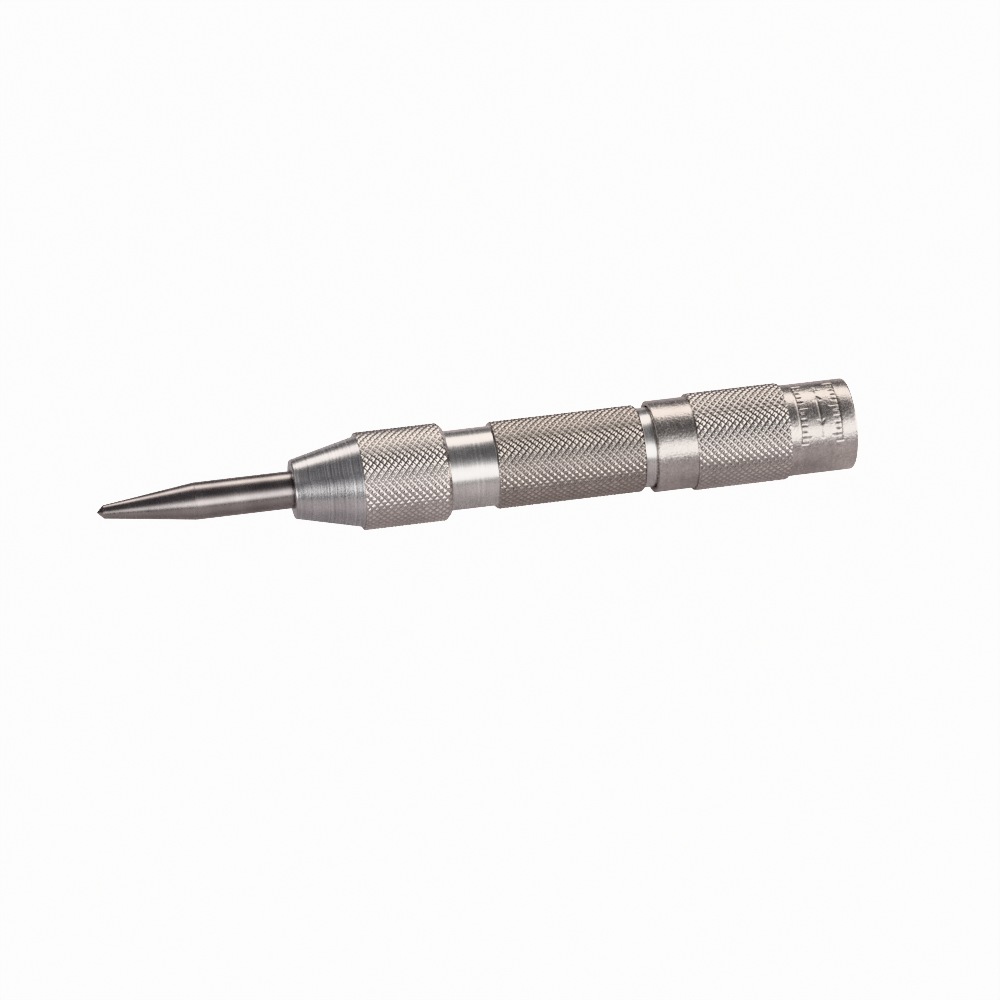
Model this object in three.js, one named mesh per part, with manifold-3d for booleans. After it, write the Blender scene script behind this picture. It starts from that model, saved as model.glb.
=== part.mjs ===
// Automatic centre punch: a spring-loaded hand tool that marks metal when its point is pressed down.
// Millimetres, +Z up. The tool lies along X with its point towards -X.
// Stations along the tool are measured from the tip; radii are measured from the tool's axis.

import * as THREE from 'three';
import { mergeVertices } from 'three/addons/utils/BufferGeometryUtils.js';
import Module from 'manifold-3d';

// ---------------------------------------------------------------- driving dimensions

const LENGTH = 125;
const KNURL_R = 8.1; // collar and cap knurl, the fattest places
const GRIP_R = 7.25;
const BARREL_R = 6.6; // plain band in front of the grip, and the neck behind it
const CAP_R = 7.6;
const SHANK_R = 3.1;

const GAP = 0.3; // left along the axis between faces that meet
const FIT = 0.1; // radial gap of a sliding or pressed fit
const LOOSE = 0.15; // radial gap of a screwed or turning fit

// Stations of the outer shape
const TAPER_END = 16.02;
const NOSE_FRONT = 31.9;
const COLLAR_FRONT = 42.9;
const COLLAR_REAR = 57.2;
const GRIP_FRONT = 65.0;
const GRIP_REAR = 89.5;
const CAP_FRONT = 91.4;
const CAP_KNURL_FRONT = 98.1;
const CAP_KNURL_REAR = 113.7;

// How the mechanism moves
const STROKE = 8; // travel of the point before the hammer is let go
const DROP = 7; // free fall of the hammer onto the drive stem
const LATCH_OFFSET = 0.8; // the release latch rests this far off the axis
const CAP_IN = 1.5; // the cap can be screwed in by this much

// Point
const TIP_R = 1.15; // 90 degree tip, so it is as long as its radius
const STUD_R = 1.9;
const STUD_LENGTH = 4;

// Nose cap
const NOSE_R = 4.85;
const CONE_BASE_R = 7.5;
const NOSE_GUIDE = 6.1; // length of the bore that guides the shank
const NOSE_CAVITY_R = 5.2;

// Plunger
const FLANGE_R = 4.9;
const FLANGE_LENGTH = 5;
const BOSS_R = 3.3;
const BOSS_LENGTH = 5;

// Drive stem and guide bush
const STEM_R = 2.1;
const PIN_R = 1.1;
const BUSH_R = 5.25;
const BUSH_LENGTH = 10.9;

// Body
const SPIGOT_R = 6.2; // screwed into the nose cap
const SPIGOT_LENGTH = 10;
const TAIL_R = 6.0; // screwed into the adjusting cap
const NECK_LENGTH = 6.9;
const TAIL_LENGTH = 14.6;
const LATCH_BORE_R = 5.2;
const HAMMER_BORE_R = 4.4;

// Hammer, release latch and leaf spring
const HAMMER_R = 4.2;
const HAMMER_LENGTH = 18;
const SPRING_SPIGOT_R = 2.4;
const SPRING_SPIGOT_LENGTH = 4;
const PIN_BORE_R = 1.3;
const SLOT_DEPTH = 1.8; // from the hammer's front face to its cross slot
const SLOT_LENGTH = 3;
const SLOT_WIDTH = 4.2;
const LATCH_HOLE_R = 1.25;
const LATCH_FOOT = 2.5; // from the axis down to the latch's lower end
const LEAF_WIDTH = 3;
const LEAF_THICKNESS = 0.25;
const GROOVE_WIDTH = 3.4;
const SCREW_R = 0.8;
const SCREW_HEAD_R = 1.4;
const SCREW_HEAD_HEIGHT = 0.7;

// Coil springs
const RETURN_SPRING = { meanR: 4.2, wireR: 0.4, turns: 8 };
const MAIN_SPRING = { meanR: 3.3, wireR: 0.65, turns: 11 };

// Spring seat and adjusting cap
const SEAT_R = 5.8;
const SEAT_THICKNESS = 2;
const SEAT_BOSS_R = 1.5;
const SEAT_BOSS_HEIGHT = 1.4;
const CAP_END_WALL = 4.3;

// Edge breaks
const FINE_EDGE = 0.15;
const GRIP_EDGE = 0.35;
const COLLAR_REAR_EDGE = 0.8;

// Facets
const TURNED_SIDES = 24;
const WIRE_SIDES = 6;
const STEPS_PER_TURN = 12;

// ---------------------------------------------------------------- derived stations

const noseShoulder = NOSE_FRONT + NOSE_GUIDE;
const plungerFront = noseShoulder + GAP;
const flangeRear = plungerFront + FLANGE_LENGTH;
const plungerRear = flangeRear + BOSS_LENGTH;
const spigotRear = COLLAR_REAR - 2;
const bodyFront = spigotRear - SPIGOT_LENGTH;
const bushFront = GRIP_FRONT - 4;
const bushRear = bushFront + BUSH_LENGTH;
const hammerFront = bushRear + GAP + FIT;
const stemShoulder = hammerFront - DROP;
const slotFront = hammerFront + SLOT_DEPTH;
const slotRear = slotFront + SLOT_LENGTH;
const pinBoreRear = slotRear + STROKE - SLOT_DEPTH + 0.2;
const hammerShoulder = hammerFront + HAMMER_LENGTH;
const latchFront = slotFront + FIT * 2;
const latchRear = slotRear - FIT * 2;
const releaseFront = latchRear + FIT;
const releaseRear = releaseFront + STROKE;
const neckRear = GRIP_REAR + NECK_LENGTH;
const bodyRear = neckRear + TAIL_LENGTH;
const capStep = neckRear + CAP_IN + GAP + FIT * 2;
const capWall = LENGTH - CAP_END_WALL;
const seatBossRear = capWall - GAP;
const seatFront = seatBossRear - SEAT_BOSS_HEIGHT - SEAT_THICKNESS;
const leafTop = -LATCH_FOOT - 0.25;
const screwStation = hammerShoulder - 3.8;

// ---------------------------------------------------------------- materials

const turnedSteel = { color: 0xa9a39f, roughness: 0.38, metalness: 1 };
const knurledSteel = { color: 0x9b938d, roughness: 0.45, metalness: 1 };
const hardSteel = { color: 0x6f6864, roughness: 0.3, metalness: 1 };
const groundSteel = { color: 0x8d8b8a, roughness: 0.28, metalness: 1 };
const springSteel = { color: 0x55524f, roughness: 0.4, metalness: 1 };

// ---------------------------------------------------------------- shape helpers

const wasm = await Module();
wasm.setup();

function signedVolume(position, index) {
  const a = new THREE.Vector3();
  const b = new THREE.Vector3();
  const c = new THREE.Vector3();
  let volume = 0;
  for (let i = 0; i < index.length; i += 3) {
    a.fromBufferAttribute(position, index[i]);
    b.fromBufferAttribute(position, index[i + 1]);
    c.fromBufferAttribute(position, index[i + 2]);
    volume += a.dot(b.cross(c)) / 6;
  }
  return volume;
}

// One closed body: shared vertices merged, flat-folded triangles dropped, faces turned outwards.
function closedBody(geometry) {
  geometry.deleteAttribute('normal');
  geometry.deleteAttribute('uv');
  const merged = mergeVertices(geometry, 1e-4);
  const source = Array.from(merged.index.array);
  const index = [];
  for (let i = 0; i < source.length; i += 3) {
    const [a, b, c] = source.slice(i, i + 3);
    if (a !== b && b !== c && c !== a) {
      index.push(a, b, c);
    }
  }
  if (signedVolume(merged.attributes.position, index) < 0) {
    index.reverse();
  }
  merged.setIndex(index);
  return merged;
}

// A turned piece about the tool's axis. The profile is a list of [station, radius]; its facets
// touch the true round surface from outside, so a flat lies at the bottom, where the tool rests.
function turned(profile, sides = TURNED_SIDES) {
  const outside = 1 / Math.cos(Math.PI / sides);
  const points = profile.map(([station, radius]) => new THREE.Vector2(radius * outside, station));
  const geometry = new THREE.LatheGeometry(points, sides, Math.PI / sides, Math.PI * 2);
  geometry.rotateZ(-Math.PI / 2);
  return closedBody(geometry);
}

// A hollow turned piece: outer profile from front to rear, then inner profile from rear to front.
function turnedShell(outer, inner) {
  return turned([...outer, ...inner, outer[0]]);
}

function boxBetween(low, high) {
  const size = high.map((value, axis) => value - low[axis]);
  const geometry = new THREE.BoxGeometry(...size);
  geometry.translate(...high.map((value, axis) => (value + low[axis]) / 2));
  return closedBody(geometry);
}

// A round bar along X or Z, from one end to the other, about the given centre line.
function roundBar(axis, radius, from, to, centre, sides = TURNED_SIDES) {
  const geometry = new THREE.CylinderGeometry(radius, radius, to - from, sides);
  if (axis === 'x') {
    geometry.rotateZ(-Math.PI / 2);
    geometry.translate((from + to) / 2, centre[0], centre[1]);
  } else {
    geometry.rotateX(Math.PI / 2);
    geometry.translate(centre[0], centre[1], (from + to) / 2);
  }
  return closedBody(geometry);
}

function toSolid(geometry) {
  return new wasm.Manifold(
    new wasm.Mesh({
      numProp: 3,
      vertProperties: new Float32Array(geometry.attributes.position.array),
      triVerts: new Uint32Array(geometry.index.array),
    }),
  );
}

function toGeometry(solid) {
  const mesh = solid.getMesh();
  const geometry = new THREE.BufferGeometry();
  geometry.setAttribute('position', new THREE.BufferAttribute(mesh.vertProperties, 3));
  geometry.setIndex(new THREE.BufferAttribute(mesh.triVerts, 1));
  return geometry;
}

function cut(geometry, ...tools) {
  return toGeometry(tools.reduce((solid, tool) => solid.subtract(toSolid(tool)), toSolid(geometry)));
}

class Helix extends THREE.Curve {
  constructor(meanR, from, to, turns) {
    super();
    Object.assign(this, { meanR, from, to, turns });
  }

  getPoint(t, target = new THREE.Vector3()) {
    const angle = t * this.turns * Math.PI * 2;
    const station = this.from + t * (this.to - this.from);
    return target.set(station, this.meanR * Math.cos(angle), this.meanR * Math.sin(angle));
  }
}

// A coil spring of round wire that fills the space between two faces.
function coilSpring({ meanR, wireR, turns }, frontFace, rearFace) {
  const inset = wireR + GAP;
  const section = new THREE.Shape();
  for (let side = 0; side < WIRE_SIDES; side += 1) {
    const angle = (side / WIRE_SIDES) * Math.PI * 2;
    const corner = [wireR * Math.cos(angle), wireR * Math.sin(angle)];
    if (side === 0) {
      section.moveTo(...corner);
    } else {
      section.lineTo(...corner);
    }
  }
  section.closePath();
  const geometry = new THREE.ExtrudeGeometry(section, {
    extrudePath: new Helix(meanR, frontFace + inset, rearFace - inset, turns),
    steps: turns * STEPS_PER_TURN,
    curveSegments: 1,
  });
  return closedBody(geometry);
}

function piece(name, geometry, finish) {
  const mesh = new THREE.Mesh(geometry, new THREE.MeshStandardMaterial(finish));
  mesh.name = name;
  return mesh;
}

function assembly(...children) {
  const group = new THREE.Group();
  group.add(...children);
  return group;
}

// ---------------------------------------------------------------- the point and what moves with it

function punchPoint() {
  const shankRear = plungerFront - GAP;
  return turned([
    [0, 0],
    [TIP_R, TIP_R],
    [TAPER_END, SHANK_R],
    [shankRear, SHANK_R],
    [shankRear, STUD_R],
    [shankRear + STUD_LENGTH, STUD_R],
    [shankRear + STUD_LENGTH, 0],
  ]);
}

// The flange stops against the nose cap, the boss carries the return spring and the stem.
function plunger() {
  const studR = STUD_R + LOOSE;
  const studEnd = plungerFront + STUD_LENGTH;
  const stemR = STEM_R + FIT;
  const stemEnd = studEnd + 1;
  return turned([
    [studEnd, 0],
    [studEnd, studR],
    [plungerFront, studR],
    [plungerFront, FLANGE_R],
    [flangeRear, FLANGE_R],
    [flangeRear, BOSS_R],
    [plungerRear, BOSS_R],
    [plungerRear, stemR],
    [stemEnd, stemR],
    [stemEnd, 0],
  ]);
}

// The stem's shoulder takes the hammer blow; its thin pin goes through the latch hole.
function driveStem() {
  const stemFront = plungerFront + STUD_LENGTH + 1 + GAP;
  const pinRear = slotFront;
  return turned([
    [stemFront, 0],
    [stemFront, STEM_R],
    [stemShoulder, STEM_R],
    [stemShoulder, PIN_R],
    [pinRear, PIN_R],
    [pinRear, 0],
  ]);
}

// ---------------------------------------------------------------- the barrel

// Cone and knurled collar in one piece, screwed onto the front of the body.
function noseCap() {
  const guideR = SHANK_R + FIT;
  const threadR = SPIGOT_R + LOOSE;
  const skirtR = BARREL_R + LOOSE;
  const threadFront = bodyFront - GAP;
  return turnedShell(
    [
      [NOSE_FRONT, guideR],
      [NOSE_FRONT, NOSE_R - FINE_EDGE],
      [NOSE_FRONT + FINE_EDGE, NOSE_R],
      [COLLAR_FRONT, CONE_BASE_R],
      [COLLAR_FRONT, KNURL_R - FINE_EDGE],
      [COLLAR_FRONT + FINE_EDGE, KNURL_R],
      [COLLAR_REAR - COLLAR_REAR_EDGE, KNURL_R],
      [COLLAR_REAR, KNURL_R - COLLAR_REAR_EDGE],
    ],
    [
      [COLLAR_REAR, skirtR],
      [spigotRear, skirtR],
      [spigotRear, threadR],
      [threadFront, threadR],
      [threadFront, NOSE_CAVITY_R],
      [noseShoulder, NOSE_CAVITY_R],
      [noseShoulder, guideR],
    ],
  );
}

// The bore is open from the front up to the release taper, which narrows towards the rear.
function body() {
  const bushBoreR = BUSH_R + FIT;
  return turnedShell(
    [
      [bodyFront, SPIGOT_R],
      [spigotRear, SPIGOT_R],
      [spigotRear + GAP, BARREL_R],
      [GRIP_FRONT, BARREL_R],
      [GRIP_FRONT, GRIP_R - GRIP_EDGE],
      [GRIP_FRONT + GRIP_EDGE, GRIP_R],
      [GRIP_REAR - GRIP_EDGE, GRIP_R],
      [GRIP_REAR, GRIP_R - GRIP_EDGE],
      [GRIP_REAR, BARREL_R],
      [neckRear, BARREL_R],
      [neckRear, TAIL_R],
      [bodyRear, TAIL_R],
    ],
    [
      [bodyRear, HAMMER_BORE_R],
      [releaseRear, HAMMER_BORE_R],
      [releaseFront, LATCH_BORE_R],
      [bushRear + GAP, LATCH_BORE_R],
      [bushRear + GAP, bushBoreR],
      [bodyFront, bushBoreR],
    ],
  );
}

// Pressed in from the front: it guides the stem and stops the hammer.
function guideBush() {
  const stemBoreR = STEM_R + FIT;
  return turnedShell(
    [
      [bushFront, stemBoreR],
      [bushFront, BUSH_R],
      [bushRear, BUSH_R],
    ],
    [[bushRear, stemBoreR]],
  );
}

// ---------------------------------------------------------------- hammer and release latch

function hammer() {
  const blank = turned([
    [pinBoreRear, 0],
    [pinBoreRear, PIN_BORE_R],
    [hammerFront, PIN_BORE_R],
    [hammerFront, HAMMER_R],
    [hammerShoulder, HAMMER_R],
    [hammerShoulder, SPRING_SPIGOT_R],
    [hammerShoulder + SPRING_SPIGOT_LENGTH, SPRING_SPIGOT_R],
    [hammerShoulder + SPRING_SPIGOT_LENGTH, 0],
  ]);
  const reach = HAMMER_R + 1;
  const crossSlot = boxBetween([slotFront, -SLOT_WIDTH / 2, -reach], [slotRear, SLOT_WIDTH / 2, reach]);
  const groove = boxBetween(
    [slotRear - 0.5, -GROOVE_WIDTH / 2, -reach],
    [hammerShoulder - 1, GROOVE_WIDTH / 2, -LATCH_FOOT],
  );
  const screwHole = roundBar('z', SCREW_R + FIT, -reach, 0, [screwStation, 0]);
  return cut(blank, crossSlot, groove, screwHole);
}

// A sliding block that bars the pin until the release taper pushes it onto the axis.
function releaseLatch() {
  const halfWidth = SLOT_WIDTH / 2 - LOOSE;
  const rounded = roundBar('x', HAMMER_R, latchFront, latchRear, [0, LATCH_OFFSET]);
  const sides = boxBetween(
    [latchFront - 1, -halfWidth, -LATCH_FOOT],
    [latchRear + 1, halfWidth, HAMMER_R + LATCH_OFFSET + 1],
  );
  const hole = roundBar('x', LATCH_HOLE_R, latchFront - 1, latchRear + 1, [0, LATCH_OFFSET]);
  return toGeometry(toSolid(rounded).intersect(toSolid(sides)).subtract(toSolid(hole)));
}

// A flat strip that pushes the latch off the axis.
function latchSpring() {
  const strip = boxBetween(
    [latchFront + 0.4, -LEAF_WIDTH / 2, leafTop - LEAF_THICKNESS],
    [hammerShoulder - 1.6, LEAF_WIDTH / 2, leafTop],
  );
  const hole = roundBar('z', SCREW_R + FIT, leafTop - 1, leafTop + 1, [screwStation, 0]);
  return cut(strip, hole);
}

function latchSpringScrew() {
  const headTop = leafTop - LEAF_THICKNESS - FIT;
  const headBottom = headTop - SCREW_HEAD_HEIGHT;
  const shank = roundBar('z', SCREW_R, headTop - 0.1, -0.4, [screwStation, 0]);
  const head = roundBar('z', SCREW_HEAD_R, headBottom, headTop, [screwStation, 0]);
  return toGeometry(toSolid(shank).add(toSolid(head)));
}

// ---------------------------------------------------------------- spring seat and adjusting cap

function springSeat() {
  return turned([
    [seatFront - SPRING_SPIGOT_LENGTH, 0],
    [seatFront - SPRING_SPIGOT_LENGTH, SPRING_SPIGOT_R],
    [seatFront, SPRING_SPIGOT_R],
    [seatFront, SEAT_R],
    [seatFront + SEAT_THICKNESS, SEAT_R],
    [seatFront + SEAT_THICKNESS, SEAT_BOSS_R],
    [seatBossRear, SEAT_BOSS_R],
    [seatBossRear, 0],
  ]);
}

// Screwed over the body's tail: turning it in squeezes the main spring for a harder blow.
function adjustingCap() {
  const neckBoreR = BARREL_R + LOOSE;
  const threadR = TAIL_R + LOOSE;
  return turned([
    [capWall, 0],
    [capWall, threadR],
    [capStep, threadR],
    [capStep, neckBoreR],
    [CAP_FRONT, neckBoreR],
    [CAP_FRONT, CAP_R - FINE_EDGE],
    [CAP_FRONT + FINE_EDGE, CAP_R],
    [CAP_KNURL_FRONT, CAP_R],
    [CAP_KNURL_FRONT, KNURL_R - FINE_EDGE],
    [CAP_KNURL_FRONT + FINE_EDGE, KNURL_R],
    [CAP_KNURL_REAR - FINE_EDGE, KNURL_R],
    [CAP_KNURL_REAR, KNURL_R - FINE_EDGE],
    [CAP_KNURL_REAR, CAP_R],
    [LENGTH - FINE_EDGE, CAP_R],
    [LENGTH, CAP_R - FINE_EDGE],
    [LENGTH, 0],
  ]);
}

// ---------------------------------------------------------------- the whole tool

const barrel = assembly(
  piece('body', body(), knurledSteel),
  piece('nose_cap', noseCap(), turnedSteel),
  piece('guide_bush', guideBush(), groundSteel),
  piece('return_spring', coilSpring(RETURN_SPRING, flangeRear, bushFront), springSteel),
  piece('main_spring', coilSpring(MAIN_SPRING, hammerShoulder, seatFront), springSteel),
);

const pointAssembly = assembly(
  piece('punch_point', punchPoint(), hardSteel),
  piece('plunger', plunger(), turnedSteel),
  piece('drive_stem', driveStem(), groundSteel),
);

const hammerAssembly = assembly(
  piece('hammer', hammer(), hardSteel),
  piece('release_latch', releaseLatch(), groundSteel),
  piece('latch_spring', latchSpring(), springSteel),
  piece('latch_spring_screw', latchSpringScrew(), hardSteel),
);

const capAssembly = assembly(
  piece('spring_seat', springSeat(), groundSteel),
  piece('adjusting_cap', adjustingCap(), turnedSteel),
);

const punch = assembly(barrel, pointAssembly, hammerAssembly, capAssembly);
punch.position.set(-LENGTH / 2, 0, KNURL_R);

export default punch;
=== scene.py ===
"""Automatic centre punch: turned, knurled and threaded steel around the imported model.

Shapes are in millimetres: a station runs along the tool from its tip and a radius outwards from its axis.
place() turns them into the frame's metres.
"""

import math

import bpy
import numpy as np
from mathutils import Matrix, Vector


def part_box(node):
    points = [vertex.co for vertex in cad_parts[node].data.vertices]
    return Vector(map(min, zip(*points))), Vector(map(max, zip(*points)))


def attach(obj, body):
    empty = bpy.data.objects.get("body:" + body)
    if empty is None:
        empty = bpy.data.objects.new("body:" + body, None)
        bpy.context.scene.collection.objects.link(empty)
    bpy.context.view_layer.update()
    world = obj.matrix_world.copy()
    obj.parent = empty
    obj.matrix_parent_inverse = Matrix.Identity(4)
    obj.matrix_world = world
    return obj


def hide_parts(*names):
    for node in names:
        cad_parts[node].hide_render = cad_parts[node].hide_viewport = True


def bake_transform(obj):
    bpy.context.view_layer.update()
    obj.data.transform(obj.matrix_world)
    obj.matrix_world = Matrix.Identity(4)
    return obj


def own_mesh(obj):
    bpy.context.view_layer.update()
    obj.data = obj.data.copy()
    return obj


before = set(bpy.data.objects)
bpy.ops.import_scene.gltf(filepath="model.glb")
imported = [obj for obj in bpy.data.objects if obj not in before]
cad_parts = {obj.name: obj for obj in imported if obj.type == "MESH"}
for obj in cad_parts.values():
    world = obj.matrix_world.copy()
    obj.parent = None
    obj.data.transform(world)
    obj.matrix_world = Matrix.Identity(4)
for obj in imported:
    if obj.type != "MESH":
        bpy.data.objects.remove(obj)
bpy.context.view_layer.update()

MM = 0.001
TIP_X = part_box("punch_point")[0].x
AXIS_Z = sum(corner.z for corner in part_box("nose_cap")) / 2


def stations(node):
    """Front and rear station of a CAD node."""
    return [(corner.x - TIP_X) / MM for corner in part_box(node)]


def radius_of(node):
    """Outer radius of a CAD node."""
    low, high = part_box(node)
    return (high.z - low.z) / 2 / MM


# ------------------------------------------------------------------ dimensions, in millimetres

NOSE_FRONT, COLLAR_REAR = stations("nose_cap")
BODY_FRONT, BODY_REAR = stations("body")
CAP_FRONT, CAP_REAR = stations("adjusting_cap")
BUSH_FRONT, BUSH_REAR = stations("guide_bush")
PLUNGER_FRONT, PLUNGER_REAR = stations("plunger")
STEM_FRONT, STEM_REAR = stations("drive_stem")
HAMMER_FRONT, HAMMER_REAR = stations("hammer")
LATCH_FRONT, LATCH_REAR = stations("release_latch")
LEAF_FRONT, LEAF_REAR = stations("latch_spring")
SEAT_SPIGOT_FRONT, SEAT_REAR = stations("spring_seat")
RETURN_FRONT, RETURN_REAR = stations("return_spring")
MAIN_FRONT, MAIN_REAR = stations("main_spring")
STUD_REAR = stations("punch_point")[1]

KNURL_R = radius_of("nose_cap")
GRIP_R = radius_of("body")
SHANK_R = radius_of("punch_point")
BARREL_R = 6.6
CAP_R = 7.6

# Point
TIP_R = 1.15
TAPER_END = 16.02
STUD_R = 1.9
SHANK_REAR = PLUNGER_FRONT - 0.3

# Nose cap
COLLAR_FRONT = 42.9
NOSE_R = 4.85
CONE_BASE_R = 7.5
COLLAR_EDGE = 0.8
GUIDE_R = SHANK_R + 0.1
NOSE_SHOULDER = PLUNGER_FRONT - 0.3
NOSE_CAVITY_R = 5.2

# Body
SPIGOT_R = 6.2
SPIGOT_REAR = COLLAR_REAR - 2
GRIP_FRONT = 65.0
GRIP_REAR = 89.5
GRIP_EDGE = 0.35
NECK_REAR = 96.4
TAIL_R = 6.0
BUSH_BORE_R = 5.35
LATCH_BORE_R = 5.2
HAMMER_BORE_R = 4.4
RELEASE_FRONT = LATCH_REAR + 0.1
RELEASE_REAR = RELEASE_FRONT + 8

# Adjusting cap
CAP_KNURL_FRONT = 98.1
CAP_KNURL_REAR = 113.7
CAP_STEP = 98.4
CAP_WALL = CAP_REAR - 4.3
CAP_THREAD_REAR = 113.5
CAP_RIM = 0.5
SCALE_FRONT = 114.9
SCALE_REAR = 123.1
SCALE_ARC = (-2.4, 8.8)
STROKE_HALF = 0.17
STROKE_DEPTH = 0.09
SCALE_AROUND = 420

# Inside
BUSH_R = 5.25
STEM_BORE_R = 2.2
STUD_BORE_R = 2.05
STUD_BORE_REAR = 42.3
FLANGE_R = 4.9
FLANGE_REAR = 43.3
PLUNGER_R = 3.3
STEM_R = 2.1
STEM_SHOULDER = 65.3
PIN_R = 1.1
HAMMER_R = 4.2
HAMMER_SHOULDER = 90.3
PIN_BORE_R = 1.3
PIN_BORE_REAR = 83.5
SPRING_SPIGOT_R = 2.4
SLOT_FRONT = 74.1
SLOT_REAR = 77.1
SLOT_HALF = 2.1
LEAF_GROOVE_HALF = 1.7
LATCH_HOLE_R = 1.25
LATCH_OFFSET = 0.8
LATCH_FOOT = 2.5
LEAF_HALF = 1.5
LEAF_TOP = -2.75
LEAF_THICKNESS = 0.25
SCREW_STATION = 86.5
SCREW_R = 0.8
SCREW_HEAD_R = 1.4
SEAT_FRONT = 117.0
SEAT_THICKNESS = 2.0
SEAT_R = 5.8
SEAT_BOSS_R = 1.5

# Springs
RETURN_MEAN_R, RETURN_WIRE_R, RETURN_TURNS = 4.2, 0.4, 8
MAIN_MEAN_R, MAIN_WIRE_R, MAIN_TURNS = 3.3, 0.65, 11
MAIN_SPLIT = 110.1
WIRE_SIDES = 12
COIL_STEPS = 40

# Clearances and edges
LOOSE = 0.15
FINE_EDGE = 0.15

PLAIN_AROUND = 160
BORE_AROUND = 96

# Screw threads: pitch and depth
STUD_THREAD = (0.7, 0.3)
NOSE_THREAD = (0.75, 0.3)
CAP_THREAD = (1.0, 0.45)
THREAD_AROUND = 60
THREAD_STEPS = 8

# A knurl: two crossing sets of V grooves. pitch is along the tool; starts is grooves around, in each set.
# GROOVE_SHAPE is a groove's share of its depth at distances from a crest, in periods.
KNURL_STEPS = 10
COLLAR_KNURL = {"pitch": 1.155, "starts": 41, "depth": 0.175}
GRIP_KNURL = {"pitch": 1.195, "starts": 39, "depth": 0.18}
CAP_KNURL = {"pitch": 1.207, "starts": 42, "depth": 0.17}
GROOVE_SHAPE = ([0, 0.1, 0.2, 0.3, 0.4, 0.5], [0, 0.12, 0.36, 0.66, 0.92, 1])


def place(station, radius, angle):
    """Points in the frame, in metres. Angle 0 is at +Z and grows towards +Y."""
    return np.stack(
        [
            np.broadcast_to(TIP_X + np.asarray(station) * MM, np.shape(angle)),
            radius * MM * np.sin(angle),
            AXIS_Z + radius * MM * np.cos(angle),
        ],
        axis=-1,
    )


# ------------------------------------------------------------------ turned pieces


class Ring:
    """One circle of a turned piece: a station, a radius at each angle, and the finish from here to the next.

    groove is how deep in a groove each point is, and split says which way each face to the next ring is
    halved.
    """

    def __init__(self, station, radius, around, finish=0, groove=0.0, split=None):
        self.station = station
        self.radius = np.broadcast_to(np.asarray(radius, float), (around,))
        self.around = around
        self.finish = finish
        self.groove = np.broadcast_to(np.asarray(groove, float), (around,))
        self.split = split


def plain(points, around=PLAIN_AROUND, finish=0):
    """Rings of a smooth stretch through (station, radius) points; radius 0 closes it with one vertex."""
    return [Ring(station, radius, around if radius > 0 else 1, finish) for station, radius in points]


def arc_corner(before, corner, after, size, steps=4):
    """The points that round a corner of a profile, starting size before it and ending size after it."""
    corner = np.array(corner, float)
    back, onward = np.subtract(before, corner), np.subtract(after, corner)
    start = corner + back * size / np.linalg.norm(back)
    end = corner + onward * size / np.linalg.norm(onward)
    shares = np.linspace(0, 1, steps + 1)[:, None]
    curve = (1 - shares) ** 2 * start + 2 * shares * (1 - shares) * corner + shares**2 * end
    return [tuple(point) for point in curve]


def rounded(points):
    """A profile from (station, radius) corners; a corner with a third number is rounded by that size."""
    found = []
    for index, point in enumerate(points):
        if len(point) == 3:
            found += arc_corner(points[index - 1][:2], point[:2], points[index + 1][:2], point[2])
        else:
            found.append(point)
    return found


def evenly(front, rear, step):
    """Stations from front to rear, about a step apart."""
    count = max(1, round(abs(rear - front) / step))
    return list(np.linspace(front, rear, count + 1))


def wobble(station, angle):
    """A slow, smooth unevenness between -1 and 1 that closes on itself around the tool."""
    return (
        np.sin(1.9 * station + 3 * angle)
        + np.sin(0.83 * station - 7 * angle + 1.3)
        + np.sin(3.1 * station + 11 * angle + 0.4)
        + np.sin(0.37 * station + 2 * angle + 2.2)
    ) / 4


def groove_share(phase):
    """How deep one set of grooves is at a phase in periods: 0 on a crest and 1 at the bottom."""
    from_crest = np.abs((phase + 0.5) % 1 - 0.5)
    return np.interp(from_crest, *GROOVE_SHAPE)


def knurled(front, rear, radius, edges, knurl, finish=1):
    """Rings of a knurled band. edges are the sizes of its two 45 degree end chamfers."""
    around = knurl["starts"] * KNURL_STEPS
    turn = np.arange(around) / around
    step = knurl["pitch"] / KNURL_STEPS
    along = np.append(np.arange(front, rear - step / 3, step), rear)
    rings = []
    for station in along:
        u = (station - front) / knurl["pitch"]
        v = turn * knurl["starts"]
        share = np.maximum(groove_share(u + v), groove_share(u - v))
        uneven = wobble(station, turn * 2 * math.pi)
        teeth = radius - knurl["depth"] * share * (1 + 0.06 * uneven) - 0.006 * (1 + uneven)
        chamfer = radius - max(edges[0] - (station - front), edges[1] - (rear - station), 0)
        u_mid, v_mid = u + 0.5 / KNURL_STEPS, v + 0.5 / KNURL_STEPS
        falling = groove_share(u_mid + v_mid) >= groove_share(u_mid - v_mid)
        rings.append(Ring(station, np.minimum(teeth, chamfer), around, finish, share, falling))
    return rings


def thread_share(phase):
    """0 on the crest of a thread and 1 at its root, with rounded flanks."""
    return 0.5 - 0.5 * np.cos(2 * math.pi * phase)


def threaded(front, rear, radius, pitch, depth, finish=2, fade=(0, 0), lead=(0, 0)):
    """Rings of a right-hand thread whose crests touch radius. It fades out over fade at its two ends and its
    end chamfers are lead long."""
    around = THREAD_AROUND
    turn = np.arange(around) / around
    low, high = min(front, rear), max(front, rear)
    rings = []
    for station in evenly(front, rear, pitch / THREAD_STEPS):
        full = 1.0
        if fade[0]:
            full = min(full, (station - low) / fade[0])
        if fade[1]:
            full = min(full, (high - station) / fade[1])
        share = thread_share(station / pitch + turn) * max(full, 0)
        chamfer = radius - max(lead[0] - (station - low), lead[1] - (high - station), 0)
        rings.append(Ring(station, np.minimum(radius - depth * share, chamfer), around, finish, share))
    return rings


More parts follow.
